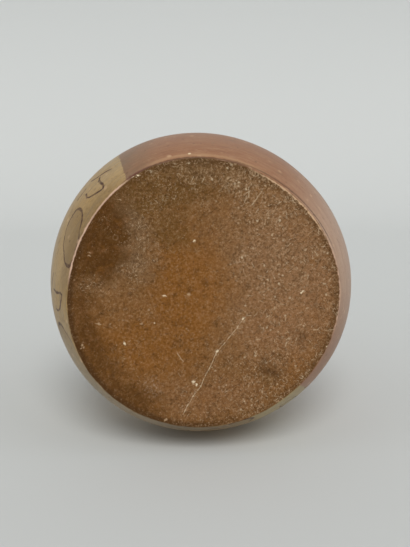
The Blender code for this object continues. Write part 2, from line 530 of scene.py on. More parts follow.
def mixed(share, first, second):
    """A colour between two, as one output. The share is a Field."""
    tree = share.tree
    node = new_node(tree, "Mix", share, data_type="RGBA", clamp_factor=True)
    for socket, value in ((node.inputs[6], first), (node.inputs[7], second)):
        plug(tree, socket, value)
    return node.outputs[2]


def srgb(red, green, blue):
    """A colour as a screen shows it, 0 to 255, as the linear colour that a shader takes."""
    def linear(value):
        value = value / 255.0
        return value / 12.92 if value <= 0.04045 else ((value + 0.055) / 1.055) ** 2.4
    return (linear(red), linear(green), linear(blue), 1.0)


def vector(tree, operation, *values):
    """The vector that a node makes of others, given as sockets or as constants."""
    return new_node(tree, "VectorMath", *values, operation=operation).outputs["Vector"]


def scaled(tree, value, factor):
    node = new_node(tree, "VectorMath", value, operation="SCALE")
    plug(tree, node.inputs["Scale"], factor)
    return node.outputs["Vector"]


def measure(tree, operation, *values):
    """The number that a node makes of vectors, such as their distance."""
    return Field(tree, new_node(tree, "VectorMath", *values, operation=operation).outputs["Value"])


def stroke_distance(tree, point, corners):
    """The distance of a flat point from the nearest of the straight stretches between these corners."""
    nearest = None
    for start, end in zip(corners, corners[1:]):
        along = (end[0] - start[0], end[1] - start[1], 0.0)
        length_squared = along[0] ** 2 + along[1] ** 2
        step = (along[0] / length_squared, along[1] / length_squared, 0.0)
        offset = vector(tree, "SUBTRACT", point, (start[0], start[1], 0.0))
        share = new_node(tree, "Clamp", measure(tree, "DOT_PRODUCT", offset, step))
        near = scaled(tree, along, share.outputs[0])
        distance = measure(tree, "DISTANCE", offset, near)
        nearest = distance if nearest is None else nearest.lowest(distance)
    return nearest


def ellipse_reach(tree, point, centre, half_length, half_width, lean):
    """0 at an ellipse's centre and 1 on its outline, for a flat point."""
    place, turn, size = (*centre, 0.0), (0.0, 0.0, lean), (half_length, half_width, 1.0)
    node = new_node(tree, "Mapping", point, place, turn, size, vector_type="TEXTURE")
    return measure(tree, "LENGTH", node.outputs["Vector"])


def blob(tree, point, centre, half_length, half_width, lean=0.0, soft=0.5):
    """A soft patch, 1 inside it and 0 outside. Its lean is in degrees."""
    reach = ellipse_reach(tree, point, centre, half_length, half_width, math.radians(lean))
    return reach.step(1.0 + soft, 1.0 - soft)


# Painted rows on the cream slip, in degrees of azimuth and in millimetres
CREAM_HALF_WIDTH = 97.5
SCROLL_AZIMUTH = -94.5
OVAL_AZIMUTH = -115.2
MOTIF_PITCH = 47.0
ROW_PITCH = 36.0
TOP_ROW_END = 112.0
LINE_HALF_WIDTH = 0.5
SCROLL_HOOK = ((2.7, 20.7), (1.6, 16.9), (3.0, 8.4), (-1.4, 9.9), (-6.9, 14.0), (-6.4, 18.6))
SCROLL_CREST = ((9.6, 19.6), (6.8, 21.4), (2.4, 23.0), (-1.5, 26.5))
SCROLL_BAR = ((-5.5, 24.2), (-12.5, 24.0))
OVAL_CENTRE = (-0.8, 8.6)
OVAL_HALF_LENGTH = 14.0
OVAL_HALF_WIDTH = 7.2
OVAL_LEAN = math.radians(30)

# A white fleck on the red slip, as x, y and z in millimetres
WHITE_SPOT = (36.7, -53.8, 2.8)

CREAM = srgb(163, 131, 80)
CREAM_PALE = srgb(174, 146, 102)
CREAM_GREY = srgb(141, 126, 104)
CREAM_BRIGHT = srgb(158, 144, 106)
CREAM_SHADE = srgb(118, 92, 54)
RED = srgb(147, 103, 73)
RED_PALE = srgb(162, 125, 96)
RED_SHEEN = srgb(178, 148, 126)
RED_DEEP = srgb(124, 80, 54)
RED_GREY = srgb(118, 96, 72)
LINE = srgb(70, 36, 18)
MAROON = srgb(96, 44, 34)
EDGE_PALE = srgb(208, 172, 136)
EDGE_PINK = srgb(214, 178, 154)
EDGE_TAN = srgb(184, 146, 108)
CLAY_INSIDE = srgb(104, 72, 46)
# Painted shadow: the dark of the side where it lies against the ground
PAINTED_CONTACT_SHADE = srgb(62, 48, 32)

BASE_BROWN = srgb(125, 86, 46)
BASE_ORANGE = srgb(131, 83, 29)
BASE_DARK = srgb(84, 51, 8)
BASE_DEEP = srgb(70, 43, 14)
BASE_GREY = srgb(124, 98, 70)
BASE_PINK = srgb(142, 99, 64)
BASE_PALE = srgb(160, 122, 88)
BASE_OLIVE = srgb(102, 71, 30)
GRAIN_PALE = srgb(184, 154, 120)
GRAIN_WHITE = srgb(222, 200, 166)
CHIP_WHITE = srgb(228, 208, 174)
BLOTCH = srgb(178, 152, 126)

# Places on the base, in millimetres to the right and up as the camera sees it. A patch is a colour's
# share there, its middle, its half length and width, its lean in degrees and its softness.
ORANGE_PATCHES = (
    (0.95, (-7.0, 1.0), 17.0, 29.0, 0.0, 0.5),
    (0.85, (-28.0, -24.0), 22.0, 14.0, -15.0, 0.6),
    (0.8, (42.1, 30.0), 6.0, 5.0, 0.0, 0.5),
    (0.6, (42.0, -38.0), 20.0, 4.5, 45.0, 0.7),
)
DARK_PATCHES = (
    (0.95, (-45.0, 27.0), 23.0, 14.0, 68.0, 0.4),
    (0.85, (-52.0, -24.0), 22.0, 8.0, 110.0, 0.7),
    (0.8, (-38.0, -46.0), 22.0, 8.0, -42.0, 0.7),
    (0.75, (-55.0, 0.0), 16.0, 8.0, 90.0, 0.6),
)
OLIVE_PATCHES = (
    (0.85, (-16.0, 50.0), 26.0, 12.0, 12.0, 0.6),
    (0.7, (-14.0, 33.0), 10.0, 9.0, 0.0, 0.6),
    (0.45, (24.0, -52.0), 16.0, 7.0, 20.0, 0.7),
    (0.4, (33.0, -38.0), 9.0, 6.0, 20.0, 0.8),
)
PINK_PATCHES = (
    (0.6, (42.0, 6.0), 22.0, 36.0, 0.0, 0.7),
    (0.6, (38.0, -16.0), 17.0, 18.0, 0.0, 0.7),
    (0.45, (6.0, -48.0), 26.0, 10.0, 0.0, 0.7),
)
PALE_PATCHES = ((0.33, (35.0, 13.0), 26.0, 36.0, 0.0, 0.8),)
GREY_PATCHES = (
    (0.18, (35.0, 25.0), 20.0, 20.0, 0.0, 0.6),
    (0.4, (8.0, 57.0), 28.0, 6.0, -4.0, 0.7),
    (0.6, (-28.0, 30.0), 15.0, 5.5, 110.0, 0.7),
    (0.6, (-29.0, 17.0), 9.0, 7.0, 20.0, 0.7),
    (0.25, (-42.0, 6.0), 12.0, 4.5, 10.0, 0.8),
)
STAIN_PATCHES = ((0.6, (31.2, -35.6), 5.5, 3.0, 0.0, 0.8), (0.4, (44.0, -20.0), 4.0, 2.5, 30.0, 0.8))
BLOTCH_PLACE = ((-23.3, -41.8), 3.4, 4.0)
RING_PLACE = ((-39.3, 27.7), 1.1, 1.1)
LONG_SCRATCH = (
    (18.4, -10.2), (15.9, -14.3), (13.2, -17.4), (9.4, -22.3), (6.2, -26.1), (4.2, -31.0),
    (1.2, -36.7), (-1.3, -42.7), (-4.9, -47.3), (-9.4, -55.8),
)
THIN_SCRATCHES = (
    ((-11.9, -26.3), (-9.1, -30.1)),
    ((20.6, 50.2), (20.6, 45.7)),
    ((22.0, 42.1), (26.5, 48.4)),
)
WHITE_CHIPS = (
    ((-36.0, -21.3), 0.9, 0.45, -62.0), ((-4.4, -39.9), 0.75, 0.5, -30.0),
    ((-2.9, -41.4), 0.5, 0.35, -30.0), ((6.6, -25.4), 0.75, 0.6, 20.0),
    ((18.4, -10.0), 0.6, 0.45, 50.0), ((45.4, 2.2), 0.85, 0.4, 35.0),
    ((-17.5, 0.7), 1.0, 0.3, -15.0), ((-22.3, -11.8), 0.4, 0.35, 0.0),
    ((-3.8, 26.0), 0.65, 0.5, 10.0), ((57.4, -23.6), 0.5, 0.4, 0.0),
)
PALE_CHIPS = (
    ((-28.2, -12.2), 0.6, 0.5, 0.0), ((-6.4, 1.4), 0.8, 0.5, 20.0),
    ((-47.8, -12.0), 1.3, 0.4, -5.0), ((-55.7, -21.9), 0.8, 0.35, 60.0),
    ((-54.9, -23.0), 0.6, 0.3, 100.0), ((-56.0, -23.5), 0.5, 0.3, 20.0),
    ((21.7, -20.7), 0.6, 0.35, 0.0), ((25.5, -19.9), 1.1, 0.3, 8.0),
    ((48.1, -5.3), 0.7, 0.4, 20.0), ((52.3, -15.5), 1.6, 0.28, 10.0),
    ((-51.1, 21.0), 1.0, 0.22, -4.0), ((-51.3, 19.6), 1.0, 0.22, -4.0),
    ((-37.4, 44.5), 1.2, 0.28, -3.0), ((11.2, 54.2), 0.8, 0.5, 50.0),
    ((-17.7, -58.4), 0.8, 0.5, 40.0),
)

# Lines along the base's edge: their middle past it, half width and softness in millimetres, the
# angles of the picture that they lie between, how softly they end there, their share and their colour
EDGE_LINES = (
    (1.45, 0.22, 0.25, 22.0, 80.0, 6.0, 0.75, BASE_DEEP),
    (0.75, 0.3, 0.25, 70.0, 124.0, 6.0, 0.7, BASE_DEEP),
    (1.9, 0.5, 0.5, 66.0, 112.0, 8.0, 0.5, EDGE_TAN),
    (1.1, 0.3, 0.25, 112.0, 124.0, 3.0, 0.7, MAROON),
)


def patches(tree, point, items):
    """The highest share of any of these patches at a flat point."""
    total = None
    for share, middle, half_length, half_width, lean, soft in items:
        patch = blob(tree, point, middle, half_length, half_width, lean, soft) * share
        total = patch if total is None else total.highest(patch)
    return total


def rounded(corners):
    """The same stroke with each of its inner corners cut off."""
    points = [corners[0]]
    for start, end in zip(corners, corners[1:]):
        points += [on_way(start, end, 0.25), on_way(start, end, 0.75)]
    return points[:1] + points[2:-1] + [corners[-1]]


def chips_field(tree, point, chips):
    """1 on each chip, given by its middle, its half length and width, and its lean in degrees."""
    return patches(tree, point, [(1.0,) + chip + (0.4,) for chip in chips])


def base_edge_field(azimuth):
    """The base edge's radius in millimetres at an azimuth in radians."""
    total = 1.0
    for count, size, crest in BASE_WAVES:
        total = total + ((azimuth - crest) * float(count)).math("COSINE") * size
    return total * (BASE_EDGE_REACH / MM)


def turn_span(azimuth_degrees, start, end, soft):
    """1 between two angles of the picture, in degrees counted from its right, and 0 outside."""
    middle = math.degrees(PICTURE_TURN) - (start + end) / 2.0
    half = (end - start) / 2.0
    turn = abs((azimuth_degrees - middle).wrapped(-180.0, 180.0))
    return turn.step(half + soft, half - soft)


def line_at(distance, place, half_width, soft=0.25):
    """1 where a distance is near a place on its scale."""
    return (abs(distance - place) - half_width).step(soft, -soft)


def dashes_field(tree, point, cell, half_length, half_width, share, seed):
    """Short straight strokes in random directions, at most one in each cell of this size."""
    moved = vector(tree, "ADD", point, (seed * 31.7, seed * 12.3, 0.0))
    node = new_node(tree, "TexVoronoi", moved, voronoi_dimensions="2D")
    node.inputs["Scale"].default_value = 1.0 / cell
    draw = separated(tree, node.outputs["Color"])
    offset = vector(tree, "SUBTRACT", moved, node.outputs["Position"])
    turned_offset = new_node(tree, "VectorRotate", offset, rotation_type="Z_AXIS")
    plug(tree, turned_offset.inputs["Angle"], draw[0] * math.pi)
    along, across, _ = separated(tree, turned_offset.outputs["Vector"])
    length = (abs(along) - (draw[1] * 0.6 + 0.4) * half_length).step(0.3, -0.3)
    width = (abs(across) - half_width).step(0.2, -0.12)
    return length * width * draw[2].step(1.0 - share - 0.02, 1.0 - share + 0.02)


def paint_lines(clay):
    """The distance from the nearest painted line, and where the insides of the ovals are."""
    tree = clay.tree
    turn = clay.degrees - SCROLL_AZIMUTH
    drop = 3.2 * (1.0 - (turn * math.radians(2.0)).math("COSINE"))
    row = clay.up_side.wrapped(-6.0, ROW_PITCH - 6.0) + clay.wander_y * 2.6
    wobble_x = clay.wander_x * 2.6
    scroll_x = turn.wrapped(-MOTIF_PITCH / 2, MOTIF_PITCH / 2) * clay.flat_scale + wobble_x
    oval_turn = (clay.degrees - OVAL_AZIMUTH).wrapped(-MOTIF_PITCH / 2, MOTIF_PITCH / 2)
    oval_x = oval_turn * clay.flat_scale + wobble_x
    hook = stroke_distance(tree, combined(tree, scroll_x, row + drop, 0.0), rounded(SCROLL_HOOK))
    level = combined(tree, scroll_x, row, 0.0)
    crest = stroke_distance(tree, level, SCROLL_CREST)
    bar = stroke_distance(tree, level, SCROLL_BAR) + 0.12
    reach = ellipse_reach(
        tree, combined(tree, oval_x, row, 0.0), OVAL_CENTRE, OVAL_HALF_LENGTH, OVAL_HALF_WIDTH, OVAL_LEAN
    )
    ring = abs(reach - 1.0) * (OVAL_HALF_WIDTH * 1.2)
    return hook.lowest(crest).lowest(bar).lowest(ring), reach.step(1.02, 0.9)


class Clay:
    """The fields that the colours, roughness and relief of the vessel are mixed from, in millimetres."""

    def __init__(self, tree):
        self.tree = tree
        coordinates = tree.nodes.new("ShaderNodeTexCoord")
        self.place = scaled(tree, coordinates.outputs["Object"], 1.0 / MM)
        x, y, self.z = separated(tree, self.place)
        self.reach = root(x * x + y * y)
        azimuth = y.math("ARCTAN2", x)
        self.degrees = azimuth * math.degrees(1.0)
        above_belly = self.z - BELLY_HEIGHT / MM
        self.from_centre = root(self.reach * self.reach + above_belly * above_belly)
        latitude = (above_belly / self.from_centre).math("ARCSINE")
        radius = BODY_RADIUS / MM
        self.up_side = (latitude + math.asin(BELLY_HEIGHT / BODY_RADIUS)) * radius
        self.flat_scale = latitude.math("COSINE") * (radius * math.radians(1.0))
        self.from_edge = self.reach - base_edge_field(azimuth)
        right = measure(tree, "DOT_PRODUCT", self.place, RIGHT)
        up = measure(tree, "DOT_PRODUCT", self.place, UP)
        self.flat = combined(tree, right, up, 0.0)
        self.grain = self.noise(0.7, 4.0, 0.74)
        self.fine = self.noise(0.55, 3.0, 0.6, 3.0)
        self.mottle = self.noise(0.17, 4.0, 0.62)
        self.wander_x = self.noise(0.12, 3.0, 0.55)
        self.wander_y = self.noise(0.135, 3.0, 0.55, 40.0)
        self.broad = self.noise(0.035, 4.0, 0.6)

    def texture(self, scale, detail, roughness, shift, stretch=(1.0, 1.0, 1.0)):
        place = self.place
        if shift or stretch != (1.0, 1.0, 1.0):
            place = vector(self.tree, "MULTIPLY_ADD", place, stretch, (shift, shift * 0.7, shift * 1.3))
        no_depth = 0.0
        return new_node(self.tree, "TexNoise", place, no_depth, scale, detail, roughness)

    def noise(self, scale, detail, roughness, shift=0.0, stretch=(1.0, 1.0, 1.0)):
        """Soft noise from about -0.3 to 0.3, with features about 1 / scale wide."""
        return Field(self.tree, self.texture(scale, detail, roughness, shift, stretch).outputs["Fac"]) - 0.5

    def warped(self, point, scale, amount, shift):
        """A flat point moved about by noise."""
        colour = self.texture(scale, 3.0, 0.58, shift).outputs["Color"]
        centred = vector(self.tree, "SUBTRACT", colour, (0.5, 0.5, 0.5))
        return vector(self.tree, "MULTIPLY_ADD", centred, (amount, amount, 0.0), point)


# In the surfaces below, a step goes from where a tint starts in a noise or a distance to where it is
# full, and the number after it is the most that the tint covers.

def tinted(colour, tints):
    """The colour under tints in turn: each one's field, where it starts and is full, its share and tint."""
    for field, start, end, share, tint in tints:
        colour = mixed(field.step(start, end) * share, colour, tint)
    return colour


def stained_clay(clay, point, orange, dark, grey):
    """The stains of the bare base: broad patches of colour, mottling over them and a dark edge."""
    tree = clay.tree
    colour = mixed(orange, BASE_BROWN, BASE_ORANGE)
    for items, tint in ((OLIVE_PATCHES, BASE_OLIVE), (PINK_PATCHES, BASE_PINK), (PALE_PATCHES, BASE_PALE)):
        colour = mixed(patches(tree, point, items), colour, tint)
    colour = mixed(dark, colour, BASE_DARK)
    colour = mixed(grey, colour, BASE_GREY)
    mottle_2 = clay.noise(0.3, 4.0, 0.65, 71.0)
    mottle_3 = clay.noise(0.5, 4.0, 0.7, 53.0)
    colour = tinted(colour, (
        (clay.mottle, 0.02, 0.3, 0.5, BASE_ORANGE),
        (clay.mottle, -0.04, -0.26, 0.5, BASE_OLIVE),
        (mottle_2, 0.05, 0.3, 0.45, BASE_PINK),
        (mottle_2, -0.01, -0.2, 0.5, BASE_DEEP),
        (mottle_3, 0.0, 0.26, 0.4, BASE_PINK),
    ))

    edge_dark = clay.from_edge + clay.fine * 2.4
    left_side = turn_span(clay.degrees, 150.0, 282.0, 14.0)
    rest = turn_span(clay.degrees, -60.0, 130.0, 25.0)
    strip = edge_dark.step(-3.4, -0.5) * left_side * 0.8
    strip = strip.highest(edge_dark.step(-4.2, -0.3) * rest * 0.55)
    return mixed(strip, colour, BASE_DEEP)


def grain_density(clay, point, orange, dark, grey):
    """How densely grains lie on the base, mostly from 0 to 1. They are densest on its right."""
    x, y, _ = separated(clay.tree, point)
    density = x.step(-2.0, 30.0) * 0.42 + y.step(-22.0, -48.0) * x.step(-26.0, -8.0) * 0.2
    density = density + y.step(28.0, 44.0) * x.step(-34.0, -12.0) * 0.2 + grey * 0.7
    return density - orange * 0.12 - dark * 0.2 + 0.34 + clay.noise(0.11, 4.0, 0.65, 61.0) * 1.9


def grainy(clay, colour, density, dark):
    """The colour with pale and dark grains, sparks and dashes in it, and the relief that they make."""
    tree = clay.tree
    worms = abs(clay.noise(0.75, 1.0, 0.5, 83.0)).step(0.022, 0.004) * clay.fine.step(0.0, 0.14) * 0.4
    dark_worms = abs(clay.noise(0.85, 1.0, 0.5, 7.0)).step(0.03, 0.008) * clay.fine.step(0.05, -0.1)
    pale = (clay.noise(1.15, 4.0, 0.72, 33.0) * 1.5 + (density - 0.5) * 0.18).step(0.1, 0.28)
    pale = pale.highest(worms * density.step(0.05, 0.8))
    deep = (clay.noise(0.8, 4.0, 0.72, 19.0) * -1.5 + (density - 0.5) * 0.12).step(0.02, 0.3)
    deep = deep.highest(dark_worms * density.step(0.0, 0.9) * 0.8)
    sand = clay.noise(0.95, 5.0, 0.8, 91.0)
    colour = mixed(sand.step(0.0, -0.17) * 0.62, colour, BASE_DEEP)
    colour = mixed(sand.step(0.0, 0.17) * (0.38 - dark * 0.3), colour, GRAIN_PALE)
    colour = mixed(deep * 0.66, colour, BASE_DEEP)
    colour = mixed(pale * 0.58, colour, GRAIN_PALE)

    broken = clay.warped(clay.flat, 0.9, 0.9, 13.0)
    sparks = specks_field(tree, broken, 1.7, 0.12, 3.0) * density.step(0.35, 0.95) * 0.8
    dashes = dashes_field(tree, clay.flat, 4.8, 1.5, 0.08, 0.38, 1.0)
    dashes = dashes.highest(dashes_field(tree, clay.flat, 2.4, 0.7, 0.06, 0.42, 3.0) * 0.9)
    dashes = dashes * density.step(0.35, 0.9) * (clay.fine * 2.0 + 0.8)
    colour = mixed(sparks.highest(dashes * 0.7) * 0.88, colour, GRAIN_WHITE)
    height = sand * 0.12 + clay.grain * 0.05 + pale * 0.03 - deep * 0.04 + clay.mottle * 0.12
    return colour, height


def scratched(clay, colour):
    """The colour with the long scratch, its dust and the thin scratches, and how deep the long one is."""
    tree = clay.tree
    scratch = stroke_distance(tree, clay.warped(clay.flat, 0.35, 0.8, 29.0), LONG_SCRATCH)
    beside = line_at(scratch, 1.1, 0.05, 0.2) * clay.wander_x.step(-0.05, 0.1) * 0.4
    line = (scratch.step(0.34, 0.0) * (clay.grain * 3.6 + 0.55)).highest(beside)
    dust = scratch.step(2.6, 0.3) * clay.grain.step(0.06, 0.22) * 0.7
    thin_point = clay.warped(clay.flat, 0.5, 0.8, 37.0)
    for points in THIN_SCRATCHES:
        thin = stroke_distance(tree, thin_point, points)
        line = line.highest(thin.step(0.36, 0.06) * 0.45)
    return mixed(line.highest(dust) * 0.75, colour, GRAIN_WHITE), scratch.step(0.6, 0.1) * 0.05


def stained_and_chipped(clay, point, colour):
    """The colour with the small stains, the pale blotch, the faint ring and the chips."""
    tree = clay.tree
    colour = mixed(patches(tree, point, STAIN_PATCHES), colour, BASE_DEEP)
    blotch = blob(tree, clay.warped(clay.flat, 0.5, 6.0, 47.0), *BLOTCH_PLACE, 0.0, 0.6)
    colour = mixed(blotch * clay.grain.step(-0.02, 0.16) * 0.8, colour, BLOTCH)
    ring = ellipse_reach(tree, clay.flat, *RING_PLACE, 0.0)
    colour = mixed(line_at(ring, 1.0, 0.2) * 0.16, colour, GRAIN_PALE)
    jagged = clay.warped(clay.flat, 0.8, 2.2, 43.0)
    colour = mixed(chips_field(tree, jagged, PALE_CHIPS) * 0.7, colour, GRAIN_PALE)
    return mixed(chips_field(tree, jagged, WHITE_CHIPS) * 0.95, colour, CHIP_WHITE)


def base_surface(clay):
    """The colour and relief of the bare base: stained clay with grains, scratches and chips."""
    tree = clay.tree
    point = clay.warped(clay.warped(clay.flat, 0.05, 22.0, 11.0), 0.23, 9.0, 5.0)
    orange = patches(tree, point, ORANGE_PATCHES)
    dark = patches(tree, point, DARK_PATCHES)
    grey = patches(tree, point, GREY_PATCHES)
    colour = stained_clay(clay, point, orange, dark, grey)
    density = grain_density(clay, point, orange, dark, grey)
    colour, height = grainy(clay, colour, density, dark)
    colour, scratch_depth = scratched(clay, colour)
    return stained_and_chipped(clay, point, colour), height - scratch_depth


def cream_slip(clay, streaks, streaks_2, near_base):
    """The cream slip without its painted lines."""
    turn = clay.degrees
    cream = mixed(clay.broad.step(-0.15, 0.2), CREAM, CREAM_PALE)
    # Painted shade: the cream on the lower side near the ground is made greyer and darker.
    cream = mixed(turn_span(turn, 205.0, 268.0, 22.0) * near_base * 0.85, cream, CREAM_GREY)
    cream = mixed(turn_span(turn, 290.0, 318.0, 10.0) * near_base * 0.8, cream, CREAM_BRIGHT)
    return tinted(cream, (
        (streaks, 0.0, 0.18, 0.6, CREAM_PALE),
        (streaks, 0.0, -0.18, 0.55, CREAM_GREY),
        (streaks_2, -0.03, -0.2, 0.6, CREAM_SHADE),
        (clay.mottle, 0.03, 0.22, 0.45, CREAM_SHADE),
        (clay.grain, 0.02, 0.2, 0.4, CREAM_SHADE),
        (clay.grain, -0.02, -0.2, 0.35, CREAM_PALE),
    ))


def red_slip(clay, streaks, streaks_2, near_base, cream_edge):
    """The red slip, with a painted sheen on its right near the base, and greyer beside the cream."""
    turn = clay.degrees
    red = tinted(RED, ((streaks, 0.0, 0.18, 0.6, RED_PALE), (streaks, 0.0, -0.18, 0.5, RED_DEEP)))
    # Painted sheen: the slip is paler on its right near the base, where the light grazes it.
    red = mixed(turn_span(turn, -14.0, 42.0, 18.0) * near_base * (streaks * 1.2 + 0.8), red, RED_SHEEN)
    red = tinted(red, (
        (streaks_2, 0.03, 0.2, 0.4, EDGE_TAN),
        (streaks_2, -0.04, -0.2, 0.35, RED_DEEP),
    ))
    near_cream = cream_edge.step(20.0, 0.5) * (clay.wander_y * 1.4 + 0.7)
    red = mixed(near_cream * turn_span(turn, 90.0, 150.0, 20.0) * 0.85, red, RED_GREY)
    return tinted(red, (
        (clay.mottle, 0.08, 0.28, 0.45, RED_GREY),
        (clay.grain, 0.02, 0.2, 0.3, RED_DEEP),
        (clay.grain, -0.02, -0.2, 0.25, RED_PALE),
    ))


def painted(clay, cream, near_base):
    """The cream slip with its scrolls and ovals, and where their lines are."""
    nearest, oval_inside = paint_lines(clay)
    worn_off = turn_span(clay.degrees, 198.0, 262.0, 6.0) * near_base * 0.85
    shown = (clay.up_side - TOP_ROW_END).step(2.0, -2.0) * (1.0 - worn_off)
    cream = mixed(oval_inside * shown * 0.45, cream, CREAM_SHADE)
    foot_band = clay.up_side.step(11.0, 4.0) * turn_span(clay.degrees, 128.0, 178.0, 8.0)
    cream = mixed(foot_band * (clay.fine + 0.5), cream, CREAM_SHADE)
    width = clay.wander_y * 0.7 + LINE_HALF_WIDTH
    line = (nearest - width).step(0.3, -0.25) * (clay.fine * 1.8 + 0.85) * shown
    return mixed(line, cream, LINE), line


def side_surface(clay):
    """The colour, relief and gloss of the burnished slip: red all over, and cream on one half of the body."""
    tree = clay.tree
    streaks = clay.noise(1.0, 4.0, 0.7, 0.0, (0.06, 0.06, 0.6))
    streaks_2 = clay.noise(1.0, 4.0, 0.68, 0.0, (0.16, 0.16, 1.5))
    cream_turn = abs((clay.degrees - 180.0).wrapped(-180.0, 180.0))
    cream_edge = cream_turn - CREAM_HALF_WIDTH + clay.wander_x * 2.6 + clay.fine * 1.0
    on_tube = (clay.from_centre - (BODY_RADIUS / MM + 2.2)).step(0.0, 1.2)
    cream_mask = cream_edge.step(0.35, -0.35) * (1.0 - on_tube)
    near_base = clay.up_side.step(55.0, 20.0)
    cream = cream_slip(clay, streaks, streaks_2, near_base)
    cream, line = painted(clay, cream, near_base)
    red = red_slip(clay, streaks, streaks_2, near_base, cream_edge)
    side = mixed(cream_mask, red, cream)

    # Painted shade: the side nearest the ground is darkened, standing in for the contact shadow.
    contact_shade = turn_span(clay.degrees, 250.0, 286.0, 14.0) * clay.up_side.step(16.0, 4.0)
    side = mixed(contact_shade * 0.5, side, PAINTED_CONTACT_SHADE)
    pits = specks_field(tree, clay.place, 3.5, 0.12, 6.0)
    side = mixed(pits * 0.5, side, EDGE_PALE)
    pits_2 = specks_field(tree, clay.place, 2.4, 0.1, 9.0)
    side = mixed(pits_2 * 0.45, side, BASE_DEEP)
    spot = measure(tree, "DISTANCE", clay.place, WHITE_SPOT)
    side = mixed(spot.step(0.9, 0.4), side, CHIP_WHITE)
    height = streaks * 0.05 + streaks_2 * 0.025 + clay.grain * 0.008 - pits * 0.03
    rough = streaks * 0.25 + 0.44 + line * cream_mask * 0.12
    return side, height, rough


def edge_lines(clay, colour):
    """Wear and painted highlight along the edge of the base: a pale arris, partly worn clay and partly
    painted highlight, with a dark line outside it, by stretches.
    """
    place = clay.from_edge + clay.fine * 0.8
    turn = clay.degrees
    worn_and_lit_width = clay.fine * 1.3 + clay.wander_x * 0.8
    worn = (abs(place - 0.1) - 0.32 - worn_and_lit_width).step(0.22, -0.22)
    for middle, half_width, soft, start, end, end_soft, share, tint in EDGE_LINES:
        line = line_at(place, middle, half_width, soft) * turn_span(turn, start, end, end_soft)
        colour = mixed(line * share, colour, tint)
    # Painted highlight and wear: the pale arris where the rounded edge faces the light, partly worn clay.
    colour = mixed(worn * turn_span(turn, 28.0, 66.0, 7.0) * 0.9, colour, EDGE_PALE)
    # Painted highlight, partly worn slip: thin pink lines along the edge on the left and on the right.
    left_line = line_at(place, 0.45, 0.34) * turn_span(turn, 124.0, 172.0, 5.0)
    colour = mixed(left_line * (clay.wander_y * 1.2 + 0.9), colour, EDGE_PINK)
    right_line = line_at(place, 0.5, 0.25) * turn_span(turn, -16.0, 28.0, 6.0)
    colour = mixed(right_line * (clay.fine * 2.0 + 0.5), colour, EDGE_PINK)
    chips = line_at(place, 0.1, 0.6) * turn_span(turn, 108.0, 122.0, 3.0) * clay.fine.step(0.08, 0.16)
    return mixed(chips, colour, CHIP_WHITE)


# Gloss of the slip and of the bare clay, then the zones of the material in millimetres
BASE_ROUGHNESS = 0.82
COAT_WEIGHT = 0.3
COAT_WEIGHT_LOST_INSIDE = 0.28
COAT_ROUGHNESS = 0.42
SPECULAR_LEVEL = 0.16
BASE_ZONE_TOP = 16.0
BASE_ZONE_FULL = 12.0
LIP_WEAR_DEPTH = 1.3
BORE_SHADE_REACH = 0.9
BORE_SHADE_START = 11.0
BORE_SHADE_FULL = 13.0


def vessel_material():
    material = bpy.data.materials.new("painted_clay_surface")
    material.use_nodes = True
    tree = material.node_tree
    shader = tree.nodes["Principled BSDF"]
    clay = Clay(tree)
    base, base_height = base_surface(clay)
    side, side_height, side_rough = side_surface(clay)

    low = clay.z.step(BASE_ZONE_TOP, BASE_ZONE_FULL)
    base_share = (clay.from_edge + clay.wander_x * 0.9 + clay.fine * 0.6).step(0.75, 0.2) * low
    colour = mixed(base_share, side, base)
    colour = mixed(low, colour, edge_lines(clay, colour))

    rim, crown, bore = RIM_HEIGHT / MM, CROWN_HEIGHT / MM, SPOUT_BORE_RADIUS / MM
    lip_wear = (clay.z + clay.fine * 2.5).step(rim - LIP_WEAR_DEPTH, rim - 0.4)
    colour = mixed(lip_wear * 0.7, colour, EDGE_TAN)
    inside = clay.reach.step(bore + BORE_SHADE_REACH, bore + 0.2)
    inside = inside * (clay.z - crown).step(BORE_SHADE_START, BORE_SHADE_FULL)
    colour = mixed(inside, colour, CLAY_INSIDE)
    tree.links.new(colour, shader.inputs["Base Color"])

    plug(tree, shader.inputs["Roughness"], side_rough * (1.0 - base_share) + base_share * BASE_ROUGHNESS)
    coat = (1.0 - base_share) * (COAT_WEIGHT - inside * COAT_WEIGHT_LOST_INSIDE)
    plug(tree, shader.inputs["Coat Weight"], coat)
    shader.inputs["Coat Roughness"].default_value = COAT_ROUGHNESS
    shader.inputs["Specular IOR Level"].default_value = SPECULAR_LEVEL

    bump = tree.nodes.new("ShaderNodeBump")
    bump.inputs["Distance"].default_value = MM
    bump.inputs["Strength"].default_value = 1.0
    plug(tree, bump.inputs["Height"], side_height * (1.0 - base_share) + base_height * base_share)
    tree.links.new(bump.outputs["Normal"], shader.inputs["Normal"])
    return material


# Camera, ground and light

LENS = 50.0
SENSOR = 36.0

# The camera's place in metres along the picture's right, its up and out of the base, and its turns
CAMERA_RIGHT = -0.010648
CAMERA_UP = 0.067799
CAMERA_OUT = 0.340363
CAMERA_YAW = -0.034
CAMERA_PITCH = -0.165

# How far the base leans back from upright on the ground
BASE_LEAN = math.radians(3)
GROUND_NORMAL = OUT * math.sin(BASE_LEAN) + UP * math.cos(BASE_LEAN)
BODY_CENTRE = Vector((0.0, 0.0, BELLY_HEIGHT))
GROUND_GAP = 0.00005
GROUND_SIDE = 8.0
SWEEP_START = 0.6
SWEEP_RADIUS = 0.5
SWEEP_STEPS = 24
GROUND_PALE = (0.57, 0.585, 0.58, 1.0)
GROUND_ROUGHNESS = 0.8
GROUND_SPECULAR_LEVEL = 0.2

